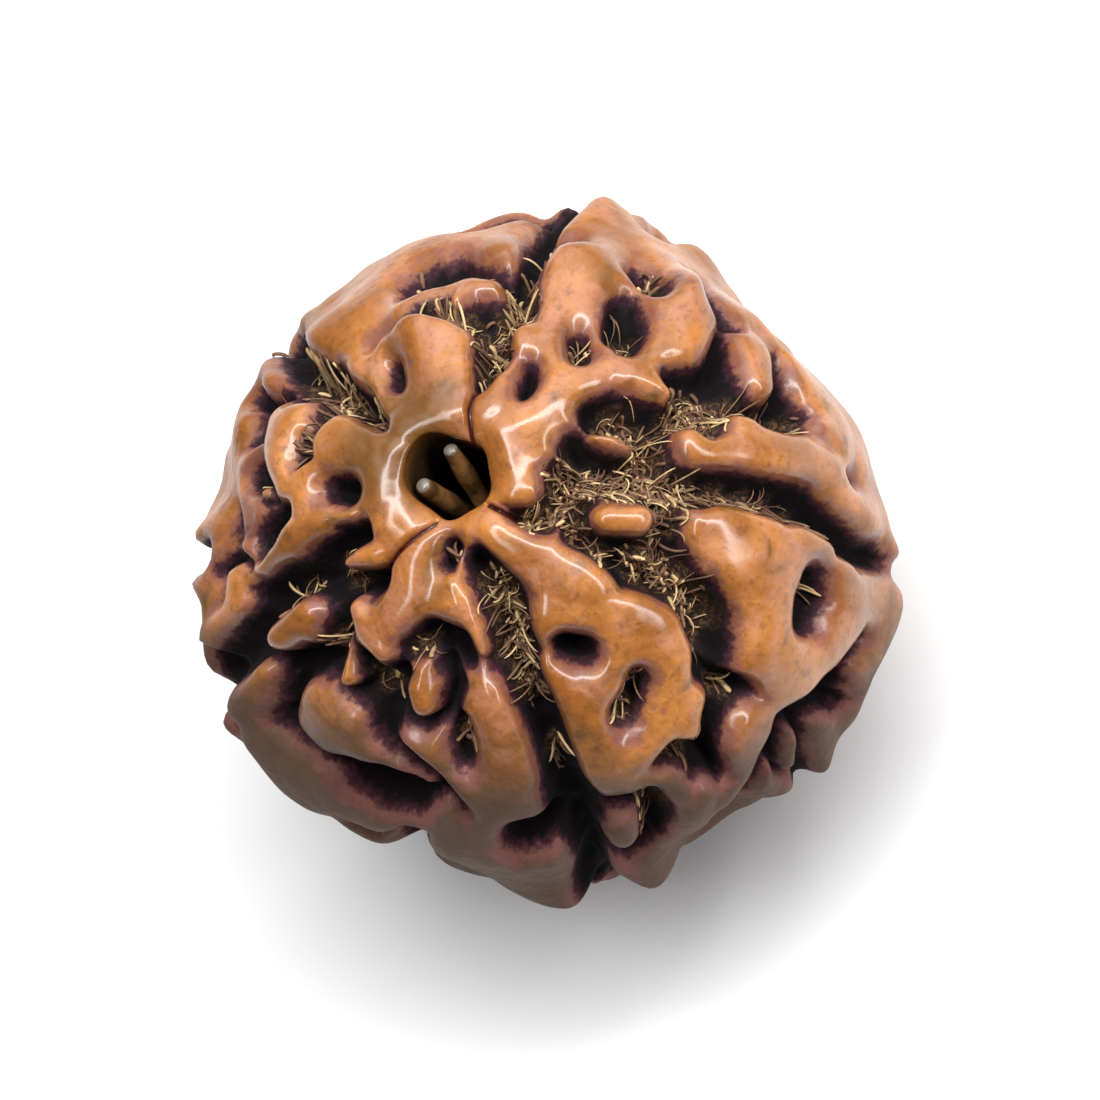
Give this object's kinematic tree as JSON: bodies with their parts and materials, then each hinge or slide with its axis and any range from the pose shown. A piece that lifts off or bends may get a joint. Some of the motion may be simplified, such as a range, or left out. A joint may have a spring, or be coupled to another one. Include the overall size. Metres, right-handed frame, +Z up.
{
  "type": "five mukhi rudraksha bead",
  "caption": "Dried rudraksha stone: a squat round woody bead with clefts from pole to pole, knobbly melted-looking ridges over dark pits, and a natural canal along its axis.",
  "frame": {"origin": "middle of the part's footprint on the surface it rests on, under the bead's canal", "axes": "+Z up along the bead's natural canal, from the lower pole it rests on to the upper pole; -Y towards the side that the reference view is taken from"},
  "size_m": [0.0214, 0.0212, 0.0183],
  "materials": {
    "oiled_stone": "oiled and handled until it is glossy: orange-brown ridges, purple-brown slopes, near-black grooves",
    "dried_pulp": "matt straw-coloured fibres of dried fruit pulp left in the grooves",
    "canal_strand": "amber-brown, glassy, with pale broken tips"
  },
  "bodies": {
    "root": {"rudraksha_stone": "oiled_stone"}
  },
  "joints": []
}
